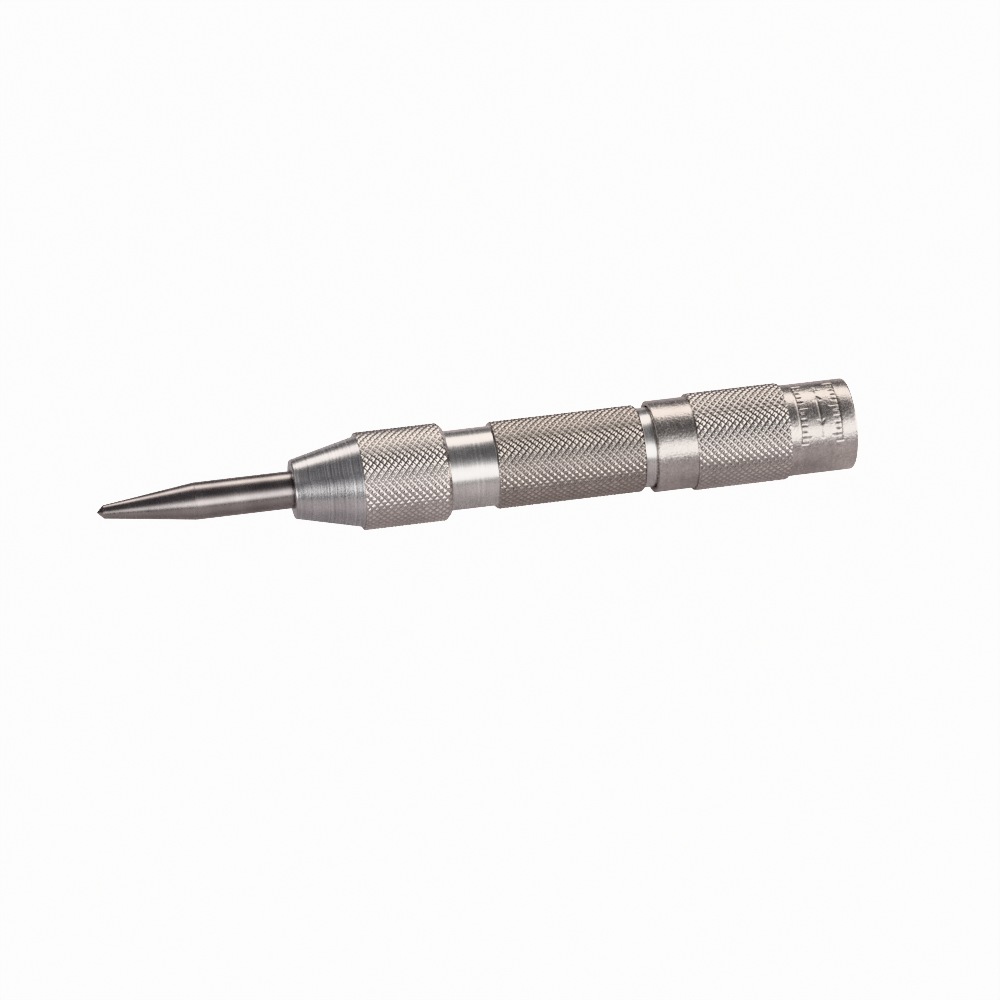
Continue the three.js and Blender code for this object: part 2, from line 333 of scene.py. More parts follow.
def scale_strokes():
    """Strokes of the cap's generic scale, as (station, arc) ends; arc is in mm from the top towards -Y."""
    strokes = []
    for base, side in ((SCALE_FRONT + 0.6, 1), (SCALE_REAR - 0.8, -1)):
        strokes.append(((base, SCALE_ARC[0]), (base, SCALE_ARC[1])))
        for k, arc in enumerate(evenly(*SCALE_ARC, 1.0)):
            strokes.append(((base, arc), (base + side * (1.5 if k % 5 == 0 else 0.9), arc)))
    middle = (SCALE_FRONT + SCALE_REAR) / 2
    more, less = SCALE_ARC[0] + 1.6, SCALE_ARC[1] - 1.4
    strokes.append(((middle - 0.6, more), (middle + 0.6, more)))
    strokes.append(((middle, more - 0.6), (middle, more + 0.6)))
    strokes.append(((middle, less - 0.6), (middle, less + 0.6)))
    strokes.append(((middle, more + 1.6), (middle, less - 1.6)))
    for end, back in ((more + 1.6, 0.7), (less - 1.6, -0.7)):
        strokes.append(((middle - 0.5, end + back), (middle, end)))
        strokes.append(((middle + 0.5, end + back), (middle, end)))
    return strokes


def engraved(front, rear, radius, strokes, around=SCALE_AROUND, finish=0):
    """Rings of a plain band with strokes cut into it."""
    angle = np.arange(around) / around * 2 * math.pi
    arc = (-(angle + math.pi) % (2 * math.pi) - math.pi) * radius
    rings = [Ring(front, radius, around, finish)]
    for station in evenly(SCALE_FRONT, rear, 0.16):
        here = np.stack([np.full(around, station), arc], axis=1)
        nearest = np.full(around, 9.0)
        for start, end in strokes:
            start = np.array(start)
            way = np.array(end) - start
            share = np.clip((here - start) @ way / (way @ way), 0, 1)
            nearest = np.minimum(nearest, np.linalg.norm(here - start - share[:, None] * way, axis=1))
        cut_share = np.clip(1.25 - nearest / STROKE_HALF, 0, 1)
        rings.append(Ring(station, radius - STROKE_DEPTH * cut_share, around, finish, cut_share))
    return rings


def strip(first, a, second, b):
    """Faces between two neighbouring rings, whose vertices start at first and second."""
    n, m = a.around, b.around
    if n == m:
        i = np.arange(n)
        j = (i + 1) % n
        quads = np.stack([first + i, first + j, second + j, second + i], axis=1)
        if a.split is None:
            return quads.tolist()
        falling, rising = quads[a.split], quads[~a.split]
        halves = [falling[:, [0, 1, 3]], falling[:, [1, 2, 3]], rising[:, [0, 1, 2]], rising[:, [0, 2, 3]]]
        return np.concatenate(halves).tolist()
    if m == 1:
        return [[first + i, first + (i + 1) % n, second] for i in range(n)]
    if n == 1:
        return [[first, second + (i + 1) % m, second + i] for i in range(m)]
    faces, i, j = [], 0, 0
    while i < n or j < m:
        if j == m or (i < n and (i + 1) * m <= (j + 1) * n):
            faces.append([first + i, first + (i + 1) % n, second + j % m])
            i += 1
        else:
            faces.append([first + i % n, second + (j + 1) % m, second + j])
            j += 1
    return faces


def mesh_object(name, vertices, faces, finishes=None, groove=None, crease=25):
    """A mesh piece with its faces pointing out and its edges sharp where they turn by more than crease."""
    vertices = np.asarray(vertices, float)
    centre = vertices.mean(axis=0)
    volume = 0.0
    for corners in (np.array([f for f in faces if len(f) == size]) for size in {len(f) for f in faces}):
        for k in range(1, corners.shape[1] - 1):
            a, b, c = (vertices[corners[:, i]] - centre for i in (0, k, k + 1))
            volume += float(np.einsum("ij,ij->", a, np.cross(b, c)))
    if volume < 0:
        faces = [face[::-1] for face in faces]
    mesh = bpy.data.meshes.new(name)
    mesh.from_pydata(vertices.tolist(), [], faces)
    if finishes is not None:
        mesh.polygons.foreach_set("material_index", np.asarray(finishes, np.int32))
    if groove is not None:
        attribute = mesh.attributes.new("groove", "FLOAT", "POINT")
        attribute.data.foreach_set("value", np.asarray(groove, np.float32))
    mesh.shade_smooth()
    mesh.set_sharp_from_angle(angle=math.radians(crease))
    made = bpy.data.objects.new(name, mesh)
    bpy.context.scene.collection.objects.link(made)
    return made


def turned(name, rings, closed=False, crease=25):
    """A piece from rings in order: closed joins the last ring to the first, as on a shell."""
    firsts = np.cumsum([0] + [r.around for r in rings])
    vertices = np.concatenate(
        [place(r.station, r.radius, np.arange(r.around) / r.around * 2 * math.pi) for r in rings]
    )
    faces, finishes = [], []
    pairs = list(zip(range(len(rings)), range(1, len(rings))))
    if closed:
        pairs.append((len(rings) - 1, 0))
    for k, following in pairs:
        made = strip(int(firsts[k]), rings[k], int(firsts[following]), rings[following])
        faces += made
        finishes += [rings[k].finish] * len(made)
    return mesh_object(name, vertices, faces, finishes, np.concatenate([r.groove for r in rings]), crease)


# ------------------------------------------------------------------ the parts that show


def make_point():
    """Ground point: 90 degree tip, long taper, straight shank, a stud for the plunger."""
    outline = rounded(
        [
            (0.0, 0.0),
            (0.03, 0.03),
            (TIP_R, TIP_R, 0.06),
            (TAPER_END - 0.06, SHANK_R - 0.012),
            (TAPER_END - 0.03, SHANK_R - 0.03),
            (TAPER_END + 0.03, SHANK_R - 0.03),
            (TAPER_END + 0.06, SHANK_R),
            (24.0, SHANK_R),
            (SHANK_REAR, SHANK_R, 0.2),
            (SHANK_REAR, STUD_R),
        ]
    )
    stud_front = SHANK_REAR + 0.1
    stud = threaded(stud_front, STUD_REAR, STUD_R, *STUD_THREAD, finish=1, fade=(0.5, 0), lead=(0, 0.3))
    return turned("punch_point_steel", plain(outline) + stud + plain([(STUD_REAR, 0.0)], finish=1))


def make_nose_cap():
    """Cone and knurled collar, bored for the shank and threaded for the body."""
    slope = (CONE_BASE_R - NOSE_R) / (COLLAR_FRONT - NOSE_FRONT)
    front = rounded(
        [
            (NOSE_FRONT + 0.15, GUIDE_R),
            (NOSE_FRONT, GUIDE_R + 0.15),
            (NOSE_FRONT, NOSE_R, 0.3),
            (NOSE_FRONT + 1.5, NOSE_R + 1.5 * slope),
        ]
    )
    cone = [(s, NOSE_R + (s - NOSE_FRONT) * slope) for s in evenly(NOSE_FRONT + 2.5, COLLAR_FRONT, 2)]
    collar = knurled(COLLAR_FRONT, COLLAR_REAR, KNURL_R, (FINE_EDGE, COLLAR_EDGE), COLLAR_KNURL)
    skirt = plain([(COLLAR_REAR, BARREL_R + LOOSE), (SPIGOT_REAR, BARREL_R + LOOSE)], finish=2)
    thread = threaded(SPIGOT_REAR, BODY_FRONT - 0.3, SPIGOT_R + LOOSE, *NOSE_THREAD, fade=(0.8, 0))
    inner = plain(
        [
            (BODY_FRONT - 0.3, NOSE_CAVITY_R),
            (NOSE_SHOULDER, NOSE_CAVITY_R),
            (NOSE_SHOULDER, GUIDE_R),
        ],
        finish=2,
    )
    return turned("nose_cap_steel", plain(front + cone) + collar + skirt + thread + inner, closed=True)


def make_body():
    """Barrel: threaded spigot, plain band, knurled grip, neck, threaded tail, stepped bore."""
    spigot = threaded(BODY_FRONT, SPIGOT_REAR - 0.4, SPIGOT_R, *NOSE_THREAD, fade=(0, 0.8), lead=(0.3, 0))
    band = plain(
        rounded(
            [
                (SPIGOT_REAR, SPIGOT_R - 0.1),
                (SPIGOT_REAR + 0.3, BARREL_R),
                (SPIGOT_REAR + 3, BARREL_R),
                (GRIP_FRONT - 3, BARREL_R),
                (GRIP_FRONT, BARREL_R, 0.12),
                (GRIP_FRONT, BARREL_R + 0.2),
            ]
        )
    )
    grip = knurled(GRIP_FRONT, GRIP_REAR, GRIP_R, (GRIP_EDGE, GRIP_EDGE), GRIP_KNURL)
    neck = plain(
        rounded(
            [
                (GRIP_REAR, BARREL_R + 0.2),
                (GRIP_REAR, BARREL_R, 0.12),
                (GRIP_REAR + 2, BARREL_R),
                (NECK_REAR, BARREL_R, 0.2),
                (NECK_REAR, TAIL_R - 0.3),
                (NECK_REAR + 0.6, TAIL_R - 0.5),
            ]
        )
    )
    tail = threaded(NECK_REAR + 1.0, BODY_REAR, TAIL_R, *CAP_THREAD, lead=(0.4, 0.5))
    bore = plain(
        [
            (BODY_REAR, HAMMER_BORE_R + 0.2),
            (BODY_REAR - 0.2, HAMMER_BORE_R),
            (RELEASE_REAR, HAMMER_BORE_R),
            (RELEASE_FRONT, LATCH_BORE_R),
            (BUSH_REAR + 0.3, LATCH_BORE_R),
            (BUSH_REAR + 0.3, BUSH_BORE_R),
            (BODY_FRONT + 0.2, BUSH_BORE_R),
            (BODY_FRONT, BUSH_BORE_R + 0.2),
        ],
        around=BORE_AROUND,
        finish=2,
    )
    return turned("body_steel_barrel", spigot + band + grip + neck + tail + bore, closed=True)


def make_adjusting_cap():
    """Cap: plain front band, knurl, plain rear band with an engraved scale, threaded bore."""
    front = plain(
        rounded(
            [
                (CAP_FRONT + 0.2, BARREL_R + LOOSE),
                (CAP_FRONT, BARREL_R + LOOSE + 0.2),
                (CAP_FRONT, CAP_R, 0.25),
                (CAP_FRONT + 1, CAP_R),
                (CAP_KNURL_FRONT, CAP_R),
            ]
        )
    )
    knurl = knurled(CAP_KNURL_FRONT, CAP_KNURL_REAR, KNURL_R, (FINE_EDGE, FINE_EDGE), CAP_KNURL)
    rim = engraved(CAP_KNURL_REAR, SCALE_REAR, CAP_R, scale_strokes()) + plain(
        rounded(
            [
                (SCALE_REAR + 0.3, CAP_R),
                (CAP_REAR - 1.2, CAP_R),
                (CAP_REAR, CAP_R, CAP_RIM),
                (CAP_REAR, CAP_R - 2),
            ]
        )
        + [(CAP_REAR, 0.0)],
        around=SCALE_AROUND,
    )
    bore = plain(
        [
            (CAP_WALL, 0.0),
            (CAP_WALL, TAIL_R + LOOSE),
            (CAP_THREAD_REAR + 1, TAIL_R + LOOSE),
        ],
        around=BORE_AROUND,
        finish=2,
    )
    thread = threaded(CAP_THREAD_REAR, CAP_STEP, TAIL_R + LOOSE, *CAP_THREAD, fade=(0, 0.8))
    mouth = plain([(CAP_STEP, BARREL_R + LOOSE)], around=BORE_AROUND, finish=2)
    return turned("adjusting_cap_steel", bore + thread + mouth + front + knurl + rim)


# ------------------------------------------------------------------ the parts inside


def make_plunger():
    """Flanged holder with a threaded hole for the point's stud and a plain one for the stem."""
    thread = threaded(STUD_BORE_REAR - 0.2, PLUNGER_FRONT + 0.3, STUD_BORE_R, *STUD_THREAD, finish=0)
    outline = rounded(
        [
            (PLUNGER_FRONT, STUD_BORE_R + 0.3),
            (PLUNGER_FRONT, FLANGE_R, 0.25),
            (FLANGE_REAR, FLANGE_R, 0.25),
            (FLANGE_REAR, PLUNGER_R),
            (PLUNGER_REAR, PLUNGER_R, 0.25),
            (PLUNGER_REAR, STEM_BORE_R + 0.2),
            (PLUNGER_REAR - 0.2, STEM_BORE_R),
            (FLANGE_REAR, STEM_BORE_R),
        ]
    )
    bottom = plain([(STUD_BORE_REAR, 0.0), (STUD_BORE_REAR, STUD_BORE_R - 0.3)], around=THREAD_AROUND)
    end = plain([(FLANGE_REAR, 0.0)])
    return turned("plunger_steel", bottom + thread + plain(outline, around=BORE_AROUND) + end)


def make_drive_stem():
    """Stem with the thin pin that passes through the hammer."""
    outline = rounded(
        [
            (STEM_FRONT, 0.0),
            (STEM_FRONT, STEM_R, 0.25),
            (STEM_SHOULDER, STEM_R, 0.15),
            (STEM_SHOULDER, PIN_R),
            (STEM_REAR, PIN_R, 0.2),
            (STEM_REAR, 0.0),
        ]
    )
    return turned("drive_stem_steel", plain(outline, around=64))


def make_guide_bush():
    """Plain bush that guides the stem."""
    outline = [
        (BUSH_FRONT, STEM_BORE_R + 0.25),
        (BUSH_FRONT, BUSH_R - 0.3),
        (BUSH_FRONT + 0.3, BUSH_R),
        (BUSH_REAR - 0.3, BUSH_R),
        (BUSH_REAR, BUSH_R - 0.3),
        (BUSH_REAR, STEM_BORE_R + 0.25),
        (BUSH_REAR - 0.25, STEM_BORE_R),
        (BUSH_FRONT + 0.25, STEM_BORE_R),
    ]
    return turned("guide_bush_steel", plain(outline, around=BORE_AROUND), closed=True)


def make_spring_seat():
    """Disc between spring and cap, with a spigot for the spring and a boss against the cap."""
    outline = rounded(
        [
            (SEAT_SPIGOT_FRONT, 0.0),
            (SEAT_SPIGOT_FRONT, SPRING_SPIGOT_R, 0.3),
            (SEAT_FRONT, SPRING_SPIGOT_R),
            (SEAT_FRONT, SEAT_R, 0.25),
            (SEAT_FRONT + SEAT_THICKNESS, SEAT_R, 0.25),
            (SEAT_FRONT + SEAT_THICKNESS, SEAT_BOSS_R),
            (SEAT_REAR, SEAT_BOSS_R, 0.5),
            (SEAT_REAR, 0.0),
        ]
    )
    return turned("spring_seat_steel", plain(outline, around=BORE_AROUND))


def coil_station(turn, front, rear, wire, turns):
    """Where the wire's middle is after some turns: the first and last turns lie close together."""
    return np.interp(turn, [0, 1, turns - 1, turns], [front, front + 2.05 * wire, rear - 2.05 * wire, rear])


def coil(name, front, rear, mean, wire, turns, first=0.0, last=None):
    """A round-wire spring between two stations, or the turns of it from first to last."""
    last = turns if last is None else last
    sides = WIRE_SIDES
    turn = np.linspace(first, last, round((last - first) * COIL_STEPS) + 1)[:, None]
    section = np.arange(sides) / sides * 2 * math.pi
    middle = coil_station(turn, front + wire, rear - wire, wire, turns)
    angle = np.broadcast_to(turn * 2 * math.pi, (len(turn), sides))
    radius = mean + wire * np.cos(section)
    outward = np.stack([np.zeros_like(angle), np.sin(angle), np.cos(angle)], axis=-1)
    along = np.stack([middle + wire * np.sin(section), 0 * angle, 0 * angle], axis=-1)
    vertices = (along + outward * radius[None, :, None]) * MM + np.array([TIP_X, 0, AXIS_Z])
    count = len(turn)
    faces = []
    for row in range(count - 1):
        for k in range(sides):
            a, b = row * sides + k, row * sides + (k + 1) % sides
            faces.append([a, b, b + sides, a + sides])
    faces.append(list(range(sides))[::-1])
    faces.append(list(range((count - 1) * sides, count * sides)))
    return mesh_object(name, vertices.reshape(-1, 3), faces, crease=50)


def block(name, low, high, slices=1, corner=0.0):
    """A box between two corners given as (station, y, z) in mm from the axis, sliced along the tool; corner
    rounds the plan of its front end."""
    vertices, faces = [], []
    for station in evenly(low[0], high[0], (high[0] - low[0]) / slices):
        narrow = corner - math.sqrt(max(0.0, corner**2 - max(0.0, corner - station + low[0]) ** 2))
        left, right = low[1] + narrow, high[1] - narrow
        for y, z in ((left, low[2]), (right, low[2]), (right, high[2]), (left, high[2])):
            vertices.append((TIP_X + station * MM, y * MM, AXIS_Z + z * MM))
    for row in range(slices):
        for k in range(4):
            a, b = row * 4 + k, row * 4 + (k + 1) % 4
            faces.append([a, b, b + 4, a + 4])
    faces.append([3, 2, 1, 0])
    faces.append([slices * 4 + k for k in range(4)])
    return mesh_object(name, vertices, faces)


def upright(piece, station):
    """Stands a turned piece up: its stations become heights from the axis, at a station of the tool."""
    piece.data.transform(
        Matrix((
            (0, 0, -1, TIP_X + station * MM + AXIS_Z),
            (0, 1, 0, 0),
            (1, 0, 0, AXIS_Z - TIP_X),
            (0, 0, 0, 1),
        ))
    )
    return piece


def cut(piece, *cutters):
    """Cuts other pieces out of a piece, and removes them."""
    for cutter in cutters:
        modifier = piece.modifiers.new("cut", "BOOLEAN")
        modifier.operation = "DIFFERENCE"
        modifier.solver = "EXACT"
        modifier.object = cutter
    graph = bpy.context.evaluated_depsgraph_get()
    mesh = bpy.data.meshes.new_from_object(piece.evaluated_get(graph))
    piece.modifiers.clear()
    piece.data = mesh
    for cutter in cutters:
        bpy.data.objects.remove(cutter)
    mesh.shade_smooth()
    mesh.set_sharp_from_angle(angle=math.radians(25))
    return piece


def hole(radius, low, high):
    """A round cutter from one height to another at the screw's station."""
    outline = [(low, 0.0), (low, radius), (high, radius), (high, 0.0)]
    return upright(turned("cutter", plain(outline, around=48)), SCREW_STATION)


def make_hammer():
    """Striking block: bore for the pin, cross slot for the latch, groove and tapped hole for its spring."""
    outline = rounded(
        [
            (PIN_BORE_REAR, 0.0),
            (PIN_BORE_REAR, PIN_BORE_R),
            (HAMMER_FRONT + 0.15, PIN_BORE_R),
            (HAMMER_FRONT, PIN_BORE_R + 0.15),
            (HAMMER_FRONT, HAMMER_R, 0.25),
            (HAMMER_SHOULDER, HAMMER_R, 0.25),
            (HAMMER_SHOULDER, SPRING_SPIGOT_R),
            (HAMMER_REAR, SPRING_SPIGOT_R, 0.4),
            (HAMMER_REAR, 0.0),
        ]
    )
    reach = HAMMER_R + 1
    slot = block("cutter", (SLOT_FRONT, -SLOT_HALF, -reach), (SLOT_REAR, SLOT_HALF, reach))
    groove = block(
        "cutter",
        (SLOT_REAR - 0.5, -LEAF_GROOVE_HALF, -reach),
        (HAMMER_SHOULDER - 1, LEAF_GROOVE_HALF, -LATCH_FOOT),
    )
    blank = turned("hammer_steel", plain(outline, around=BORE_AROUND))
    return cut(blank, slot, groove, hole(SCREW_R + 0.1, -reach, 0.0))


def make_release_latch():
    """Sliding block with a hole that comes in line with the pin when the latch is pushed across."""
    around = 240
    angle = np.arange(around) / around * 2 * math.pi
    half = SLOT_HALF - LOOSE
    tiny = 1e-6
    to_side = half / np.maximum(np.abs(np.sin(angle)), tiny)
    to_foot = (LATCH_FOOT + LATCH_OFFSET) / np.maximum(-np.cos(angle), tiny)
    edge = np.minimum(np.minimum(HAMMER_R, to_side), to_foot)
    rings = [
        Ring(LATCH_FRONT, LATCH_HOLE_R + 0.12, around),
        Ring(LATCH_FRONT, edge - 0.15, around),
        Ring(LATCH_FRONT + 0.15, edge, around),
        Ring(LATCH_REAR - 0.15, edge, around),
        Ring(LATCH_REAR, edge - 0.15, around),
        Ring(LATCH_REAR, LATCH_HOLE_R + 0.12, around),
        Ring(LATCH_REAR - 0.12, LATCH_HOLE_R, around),
        Ring(LATCH_FRONT + 0.12, LATCH_HOLE_R, around),
    ]
    piece = turned("release_latch_steel", rings, closed=True)
    piece.data.transform(Matrix.Translation((0, 0, LATCH_OFFSET * MM)))
    return piece


def make_latch_spring():
    """Flat strip, rounded at its free end and bored for its screw."""
    leaf = block(
        "latch_spring_strip",
        (LEAF_FRONT, -LEAF_HALF, LEAF_TOP - LEAF_THICKNESS),
        (LEAF_REAR, LEAF_HALF, LEAF_TOP),
        slices=56,
        corner=0.8,
    )
    return cut(leaf, hole(SCREW_R + 0.1, LEAF_TOP - 1, LEAF_TOP + 1))


def make_latch_screw():
    """Small cheese-head screw with a driver slot, its head under the strip."""
    low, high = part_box("latch_spring_screw")
    foot, top = (low.z - AXIS_Z) / MM, (high.z - AXIS_Z) / MM
    seat = LEAF_TOP - LEAF_THICKNESS - 0.05
    outline = rounded(
        [
            (foot, 0.0),
            (foot, SCREW_HEAD_R, 0.2),
            (seat, SCREW_HEAD_R),
            (seat, SCREW_R),
            (top, SCREW_R, 0.2),
            (top, 0.0),
        ]
    )
    blank = upright(turned("latch_spring_screw_steel", plain(outline, around=48)), SCREW_STATION)
    slot = block("cutter", (SCREW_STATION - 2, -0.2, foot - 1), (SCREW_STATION + 2, 0.2, foot + 0.3))
    return cut(blank, slot)


# ------------------------------------------------------------------ materials


class Shader:
    """Adds nodes to a material: inputs are sockets or plain values."""

    def __init__(self, name):
        self.material = bpy.data.materials.new(name)
        self.material.use_nodes = True
        self.tree = self.material.node_tree
        self.tree.nodes.clear()

    def add(self, kind, inputs=(), **settings):
        """A new node, with inputs by name or number and its other settings."""
        node = self.tree.nodes.new(kind)
        for key, value in settings.items():
            setattr(node, key, value)
        for key, value in dict(inputs).items():
            if isinstance(value, bpy.types.NodeSocket):
                self.tree.links.new(value, node.inputs[key])
            else:
                node.inputs[key].default_value = value
        return node

    def math(self, operation, a, b=0.0):
        return self.add("ShaderNodeMath", {0: a, 1: b}, operation=operation).outputs[0]

    def noise(self, scale, vector=None, w=None, detail=3.0, roughness=0.5):
        """Noise around 0.5, in space at vector or along one line at w."""
        inputs = {"Scale": scale, "Detail": detail, "Roughness": roughness}
        if w is not None:
            inputs["W"] = w
            return self.add("ShaderNodeTexNoise", inputs, noise_dimensions="1D").outputs["Fac"]
        inputs["Vector"] = vector
        return self.add("ShaderNodeTexNoise", inputs).outputs["Fac"]

    def ramp(self, value, low, high, from_low=0.0, from_high=1.0):
        """Takes a value between from_low and from_high to one between low and high, held at the ends."""
        inputs = {"Value": value, "From Min": from_low, "From Max": from_high, "To Min": low, "To Max": high}
        return self.add("ShaderNodeMapRange", inputs).outputs["Result"]

    def mix(self, share, a, b):
        """Colour a where share is 0 and colour b where it is 1."""
        node = self.add("ShaderNodeMix", data_type="RGBA")
        for key, value in (("Factor", share), ("A", a), ("B", b)):
            socket = next(s for s in node.inputs if s.name == key and s.enabled)
            if isinstance(value, bpy.types.NodeSocket):
                self.tree.links.new(value, socket)
            else:
                socket.default_value = value
        return next(s for s in node.outputs if s.enabled)


def steel(
    name,
    colour,
    roughness,
    lines=0.0,
    line_scale=12.0,
    grain=0.0,
    grain_scale=2500.0,
    groove_shade=0.0,
    streak=0.05,
    blotch=0.0,
):
    """Bare steel. lines is the height of turning marks and grain of a fine unevenness, in micrometres;
    streak and blotch are how much each changes the tone, and groove_shade is how much painted shade darkens
    the grooves."""
    s = Shader(name)
    point = s.add("ShaderNodeTexCoord").outputs["Object"]
    axis = (0, 0, AXIS_Z)
    from_axis = s.add("ShaderNodeVectorMath", {0: point, 1: axis}, operation="SUBTRACT").outputs[0]
    across = s.add("ShaderNodeVectorMath", {0: from_axis, 1: (0, 1, 1)}, operation="MULTIPLY").outputs[0]
    radius = s.add("ShaderNodeVectorMath", {0: across}, operation="LENGTH").outputs["Value"]
    along = s.add("ShaderNodeSeparateXYZ", {0: point}).outputs["X"]
    travel = s.math("ADD", along, radius)

    marks = s.noise(line_scale / MM / 10, w=travel, detail=3.0, roughness=0.6)
    grit = s.noise(grain_scale, vector=point, detail=4.0, roughness=0.6)
    patches = s.noise(220.0, vector=point, detail=2.0)

    tone = s.ramp(patches, 0.86, 1.1, 0.3, 0.7)
    shade = s.math("MULTIPLY", tone, s.ramp(marks, 1 - streak, 1 + streak, 0.3, 0.7))
    shade = s.math("MULTIPLY", shade, s.ramp(grit, 1 - blotch, 1 + blotch, 0.35, 0.65))
    tinted = s.add("ShaderNodeVectorMath", {0: colour[:3], "Scale": shade}, operation="SCALE").outputs[0]
    if groove_shade:
        depth = s.add("ShaderNodeAttribute", attribute_name="groove").outputs["Fac"]
        # Painted shade: the colour darkens towards each groove's bottom, in patches.
        painted_groove_shade = s.math("MULTIPLY", s.ramp(depth, 0.0, groove_shade, 0.45, 1.0), s.ramp(patches, 0.7, 1.0, 0.3, 0.7))
        tinted = s.mix(painted_groove_shade, tinted, (colour[0] * 0.3, colour[1] * 0.27, colour[2] * 0.25, 1))
    worn = s.ramp(marks, roughness - 0.03, roughness + 0.03)
    rough = s.math("ADD", s.ramp(grit, -0.04, 0.04, 0.3, 0.7), worn)

    height = s.math("ADD", s.math("MULTIPLY", marks, lines), s.math("MULTIPLY", grit, grain))
    bump = s.add("ShaderNodeBump", {"Height": height, "Distance": 1e-6, "Strength": 1.0})
    inputs = {
        "Base Color": tinted,
        "Metallic": 1.0,
        "Roughness": rough,
        "Normal": bump.outputs["Normal"],
    }
    surface = s.add("ShaderNodeBsdfPrincipled", inputs)
    output = s.add("ShaderNodeOutputMaterial")
    s.tree.links.new(surface.outputs[0], output.inputs["Surface"])
    return s.material


TURNED = steel(
    "turned_steel", (0.66, 0.645, 0.63), 0.26, lines=18.0, line_scale=24.0, grain=1.0, streak=0.08
)
CONE = steel(
    "coarse_turned_steel", (0.565, 0.555, 0.56), 0.26, lines=26.0, line_scale=20.0, grain=1.0, streak=0.16
)
# Painted shade darkens the cut strokes of the engraved scale on this finish.
SATIN = steel(
    "satin_steel",
    (0.54, 0.505, 0.48),
    0.24,
    lines=2.0,
    grain=46.0,
    grain_scale=3000.0,
    groove_shade=1.0,
    blotch=0.16,
)
# Painted shade darkens the knurl grooves of these finishes.
COLLAR, GRIP, CAP = (
    steel(name, colour, 0.17, lines=1.0, grain=1.0, groove_shade=0.55)
    for name, colour in (
        ("knurled_collar_steel", (0.72, 0.68, 0.65)),
        ("knurled_grip_steel", (0.56, 0.515, 0.48)),
        ("knurled_cap_steel", (0.66, 0.62, 0.59)),
    )
)
# Painted shade darkens the thread roots of the bores.
BORE = steel("bored_steel", (0.5, 0.48, 0.46), 0.35, lines=3.0, groove_shade=0.6)
HARD = steel(
    "hardened_steel", (0.355, 0.327, 0.322), 0.25, lines=3.0, line_scale=40.0, grain=1.5, grain_scale=3000.0
)
GROUND = steel("ground_steel", (0.56, 0.55, 0.54), 0.2, lines=1.5, line_scale=40.0, grain=0.4)
SPRING = steel("spring_steel", (0.3, 0.29, 0.28), 0.3, grain=0.8)


def dress(piece, body, slot, materials, *nodes):
    """Gives a piece its materials and its place in the frame; a piece between two bodies rides on none."""
    for material in materials:
        piece.data.materials.append(material)
    if body:
        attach(piece, body)
    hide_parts(*nodes)


dress(make_point(), "point", "hardened_steel", [HARD, HARD], "punch_point")
dress(make_nose_cap(), "barrel", "body_steel", [CONE, COLLAR, BORE], "nose_cap")
dress(make_body(), "barrel", "body_steel", [TURNED, GRIP, BORE], "body")
dress(make_adjusting_cap(), "cap", "body_steel", [SATIN, CAP, BORE], "adjusting_cap")
dress(make_plunger(), "point", "ground_steel", [GROUND], "plunger")
dress(make_drive_stem(), "point", "ground_steel", [GROUND], "drive_stem")
dress(make_guide_bush(), "barrel", "ground_steel", [GROUND], "guide_bush")
dress(make_hammer(), "hammer", "hardened_steel", [HARD], "hammer")
dress(make_release_latch(), "latch", "ground_steel", [GROUND], "release_latch")
dress(make_latch_screw(), "hammer", "hardened_steel", [HARD], "latch_spring_screw")
dress(make_spring_seat(), "seat", "ground_steel", [GROUND], "spring_seat")


leaf = make_latch_spring()
dress(leaf, None, "spring_steel", [SPRING], "latch_spring")
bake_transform(leaf)

returning = coil(
    "return_spring_wire", RETURN_FRONT, RETURN_REAR, RETURN_MEAN_R, RETURN_WIRE_R, RETURN_TURNS
)
dress(returning, "barrel", "spring_steel", [SPRING], "return_spring")
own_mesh(returning)

# The main spring is two lengths of one wire: the front one rides on the barrel, the rear one on no body.
main_wire = (MAIN_FRONT, MAIN_REAR, MAIN_MEAN_R, MAIN_WIRE_R, MAIN_TURNS)
turns = np.linspace(0, MAIN_TURNS, 2001)
middles = coil_station(turns, MAIN_FRONT + MAIN_WIRE_R, MAIN_REAR - MAIN_WIRE_R, MAIN_WIRE_R, MAIN_TURNS)
split_turn = float(np.interp(MAIN_SPLIT, middles, turns))
front_coils = coil("main_spring_wire_front", *main_wire, last=split_turn)
dress(front_coils, "barrel", "spring_steel", [SPRING], "main_spring")
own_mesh(front_coils)
rear_coils = coil("main_spring_wire_rear", *main_wire, first=split_turn)
dress(rear_coils, None, "spring_steel", [SPRING], "main_spring")
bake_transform(rear_coils)

# ------------------------------------------------------------------ floor, lights and camera


def make_floor():
    """A pale floor that looks lighter from above than it does mirrored in the steel."""
    size = 3.0
    mesh = bpy.data.meshes.new("floor")
    corners = [(-size, -size, 0), (size, -size, 0), (size, size, 0), (-size, size, 0)]
    mesh.from_pydata(corners, [], [[0, 1, 2, 3]])
    floor = bpy.data.objects.new("floor", mesh)
    bpy.context.scene.collection.objects.link(floor)
    s = Shader("pale_floor")
    seen = s.add("ShaderNodeLightPath").outputs["Is Camera Ray"]
    mirrored = s.add("ShaderNodeBsdfDiffuse", {"Color": (0.73, 0.685, 0.70, 1)}).outputs[0]
    paper = s.add("ShaderNodeBsdfDiffuse", {"Color": (0.95, 0.95, 0.95, 1)}).outputs[0]
    glow = s.add("ShaderNodeEmission", {"Color": (1, 1, 1, 1), "Strength": 3.0}).outputs[0]
    lit = s.add("ShaderNodeAddShader", {0: paper, 1: glow}).outputs[0]
    both = s.add("ShaderNodeMixShader", {0: seen, 1: mirrored, 2: lit}).outputs[0]
    output = s.add("ShaderNodeOutputMaterial")
    s.tree.links.new(both, output.inputs["Surface"])
    mesh.materials.append(s.material)


